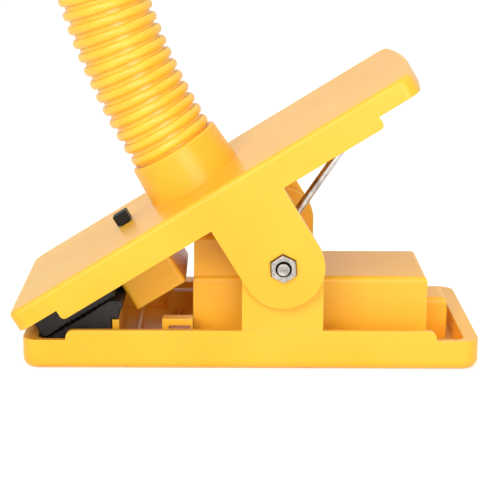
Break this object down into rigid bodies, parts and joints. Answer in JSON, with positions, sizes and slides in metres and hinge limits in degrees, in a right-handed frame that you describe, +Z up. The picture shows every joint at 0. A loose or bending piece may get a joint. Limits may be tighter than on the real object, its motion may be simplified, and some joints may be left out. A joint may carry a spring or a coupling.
{
  "type": "spring clamp base with flexible neck",
  "caption": "Spring clamp base of a small clip-on fan or lamp: tray with battery box, sprung lever with rubber jaw pads, slide switch and a ribbed flexible neck.",
  "frame": {"origin": "on the surface it stands on, under the middle of the whole part", "axes": "+X from the jaw to the squeezed handles, +Y across towards the bolt's head, +Z up; the hinge axis is parallel to Y at x 10.67 mm, z 31.2 mm"},
  "size_m": [0.1366, 0.0782, 0.1267],
  "materials": {
    "yellow_shell": "glossy injection-moulded plastic, slightly translucent",
    "yellow_neck": "satin flexible plastic",
    "black_rubber": "matt black rubber",
    "black_plastic": "satin black plastic",
    "bright_steel": "bright nickel-plated steel",
    "spring_steel": "drawn spring wire",
    "cell_wrap": "plain wrapped cell",
    "pale_plastic": "plain natural plastic"
  },
  "bodies": {
    "base": {"base_shell": "yellow_shell", "lower_pad": "black_rubber", "battery_cells": "cell_wrap", "cell_contacts": "bright_steel", "pivot_sleeve": "pale_plastic", "spring_coil": "spring_steel"},
    "battery_door": {"battery_door": "yellow_shell", "door_screw": "bright_steel"},
    "lever": {"lever_shell": "yellow_shell", "upper_pad": "black_rubber", "pivot_bolt": "bright_steel", "pivot_nut": "bright_steel", "spring_arm": "spring_steel", "switch_housing": "yellow_shell", "housing_screws": "bright_steel", "switch_body": "pale_plastic", "neck_root": "yellow_neck"},
    "switch_slider": {"switch_knob": "black_plastic"},
    "neck_01": {"neck_ring_01": "yellow_neck"},
    "neck_02": {"neck_ring_02": "yellow_neck"},
    "neck_03": {"neck_ring_03": "yellow_neck"},
    "neck_04": {"neck_ring_04": "yellow_neck"},
    "neck_05": {"neck_ring_05": "yellow_neck"},
    "neck_06": {"neck_ring_06": "yellow_neck"},
    "neck_07": {"neck_ring_07": "yellow_neck"},
    "neck_08": {"neck_ring_08": "yellow_neck"},
    "neck_09": {"neck_ring_09": "yellow_neck"},
    "neck_10": {"neck_ring_10": "yellow_neck"},
    "neck_11": {"neck_ring_11": "yellow_neck"},
    "neck_12": {"neck_ring_12": "yellow_neck"},
    "neck_end": {"neck_end_socket": "yellow_neck"}
  },
  "joints": [
    {"name": "clamp_hinge", "type": "hinge", "parent": "base", "child": "lever", "pos_m": [0.01067, 0, 0.0312], "axis": [0, 1, 0], "range_deg": [0, 35], "stiffness_Nm_per_rad": 1, "springref_deg": -68.75},
    {"name": "switch_slide", "type": "slide", "parent": "lever", "child": "switch_slider", "axis": [0, 1, 0], "range_m": [0, 0.003]},
    {"name": "battery_door_lift", "type": "slide", "parent": "base", "child": "battery_door", "axis": [0, 0, -1], "range_m": [0, 0.03]},
    {"name": "neck_bend_01", "type": "hinge", "parent": "lever", "child": "neck_01", "pos_m": [-0.02418, 0, 0.06421], "axis": [0, 1, 0], "range_deg": [-5, 4]},
    {"name": "neck_sway_02", "type": "hinge", "parent": "neck_01", "child": "neck_02", "pos_m": [-0.02626, 0, 0.06775], "axis": [0.862, 0, 0.5069], "range_deg": [-4.5, 4.5]},
    {"name": "neck_bend_03", "type": "hinge", "parent": "neck_02", "child": "neck_03", "pos_m": [-0.02826, 0, 0.07133], "axis": [0, 1, 0], "range_deg": [-5, 4]},
    {"name": "neck_sway_04", "type": "hinge", "parent": "neck_03", "child": "neck_04", "pos_m": [-0.03018, 0, 0.07495], "axis": [0.8831, 0, 0.4692], "range_deg": [-4.5, 4.5]},
    {"name": "neck_bend_05", "type": "hinge", "parent": "neck_04", "child": "neck_05", "pos_m": [-0.03203, 0, 0.07861], "axis": [0, 1, 0], "range_deg": [-5, 4]},
    {"name": "neck_sway_06", "type": "hinge", "parent": "neck_05", "child": "neck_06", "pos_m": [-0.03379, 0, 0.08231], "axis": [0.9026, 0, 0.4305], "range_deg": [-4.5, 4.5]},
    {"name": "neck_bend_07", "type": "hinge", "parent": "neck_06", "child": "neck_07", "pos_m": [-0.03548, 0, 0.08605], "axis": [0, 1, 0], "range_deg": [-5, 4]},
    {"name": "neck_sway_08", "type": "hinge", "parent": "neck_07", "child": "neck_08", "pos_m": [-0.03708, 0, 0.08982], "axis": [0.9204, 0, 0.3911], "range_deg": [-4.5, 4.5]},
    {"name": "neck_bend_09", "type": "hinge", "parent": "neck_08", "child": "neck_09", "pos_m": [-0.0386, 0, 0.09363], "axis": [0, 1, 0], "range_deg": [-5, 4]},
    {"name": "neck_sway_10", "type": "hinge", "parent": "neck_09", "child": "neck_10", "pos_m": [-0.04004, 0, 0.09747], "axis": [0.9364, 0, 0.3509], "range_deg": [-4.5, 4.5]},
    {"name": "neck_bend_11", "type": "hinge", "parent": "neck_10", "child": "neck_11", "pos_m": [-0.0414, 0, 0.10134], "axis": [0, 1, 0], "range_deg": [-5, 4]},
    {"name": "neck_sway_12", "type": "hinge", "parent": "neck_11", "child": "neck_12", "pos_m": [-0.04267, 0, 0.10523], "axis": [0.9507, 0, 0.31], "range_deg": [-4.5, 4.5]},
    {"name": "neck_bend_13", "type": "hinge", "parent": "neck_12", "child": "neck_end", "pos_m": [-0.04385, 0, 0.10916], "axis": [0, 1, 0], "range_deg": [-5, 4]}
  ],
  "couplings": [
    {"joint": "neck_bend_03", "follows": "neck_bend_01", "ratio": 1},
    {"joint": "neck_sway_04", "follows": "neck_sway_02", "ratio": 1},
    {"joint": "neck_bend_05", "follows": "neck_bend_01", "ratio": 1},
    {"joint": "neck_sway_06", "follows": "neck_sway_02", "ratio": 1},
    {"joint": "neck_bend_07", "follows": "neck_bend_01", "ratio": 1},
    {"joint": "neck_sway_08", "follows": "neck_sway_02", "ratio": 1},
    {"joint": "neck_bend_09", "follows": "neck_bend_01", "ratio": 1},
    {"joint": "neck_sway_10", "follows": "neck_sway_02", "ratio": 1},
    {"joint": "neck_bend_11", "follows": "neck_bend_01", "ratio": 1},
    {"joint": "neck_sway_12", "follows": "neck_sway_02", "ratio": 1},
    {"joint": "neck_bend_13", "follows": "neck_bend_01", "ratio": 1}
  ]
}
